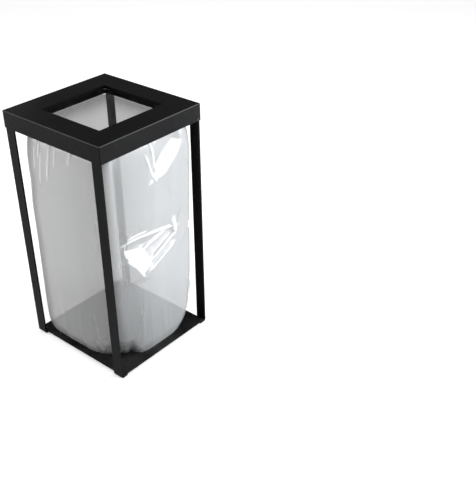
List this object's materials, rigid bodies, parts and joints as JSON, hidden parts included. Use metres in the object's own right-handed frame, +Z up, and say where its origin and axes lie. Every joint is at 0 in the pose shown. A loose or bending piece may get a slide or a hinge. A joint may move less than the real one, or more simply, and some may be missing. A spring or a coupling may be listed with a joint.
{
  "type": "open frame waste bin",
  "caption": "Open square metal waste bin: two bent flat-bar hoops on a flat base hold a ring with a clear film bag, under a hinged folded lid with a square opening.",
  "frame": {"origin": "middle of the footprint on the floor, under the rubber foot pads", "axes": "+X to the right of the front, +Y from the front to the hinged back, +Z up"},
  "size_m": [0.3908, 0.378, 0.75],
  "materials": {
    "powder_coat": "satin black powder coat",
    "screws": "black zinc",
    "washer": "matte nylon",
    "rubber": "matte",
    "film": "milky clear film"
  },
  "bodies": {
    "frame": {"right_hoop": "powder_coat", "left_hoop": "powder_coat", "base_plate": "powder_coat", "base_screws": "screws", "bag_ring": "powder_coat", "bag_right": "film", "bag_rear": "film", "bag_left": "film", "bag_front": "film", "bag_corner_rear_right": "film", "bag_corner_rear_left": "film", "bag_corner_front_left": "film", "bag_corner_front_right": "film", "bag_bottom": "film", "foot_pad_front_right": "rubber", "foot_pad_front_left": "rubber", "foot_pad_rear_right": "rubber", "foot_pad_rear_left": "rubber", "hinge_screw_right": "screws", "hinge_washer_right": "washer", "hinge_nut_right": "screws", "hinge_screw_left": "screws", "hinge_washer_left": "washer", "hinge_nut_left": "screws"},
    "lid": {"lid_shell": "powder_coat", "lid_inner_frame": "powder_coat", "lid_bumper_front_right": "rubber", "lid_bumper_front_left": "rubber", "lid_bumper_rear_right": "rubber", "lid_bumper_rear_left": "rubber"}
  },
  "joints": [
    {"name": "lid_hinge", "type": "hinge", "parent": "frame", "child": "lid", "pos_m": [0, 0.176, 0.706], "axis": [-1, 0, 0], "range_deg": [0, 90]}
  ]
}
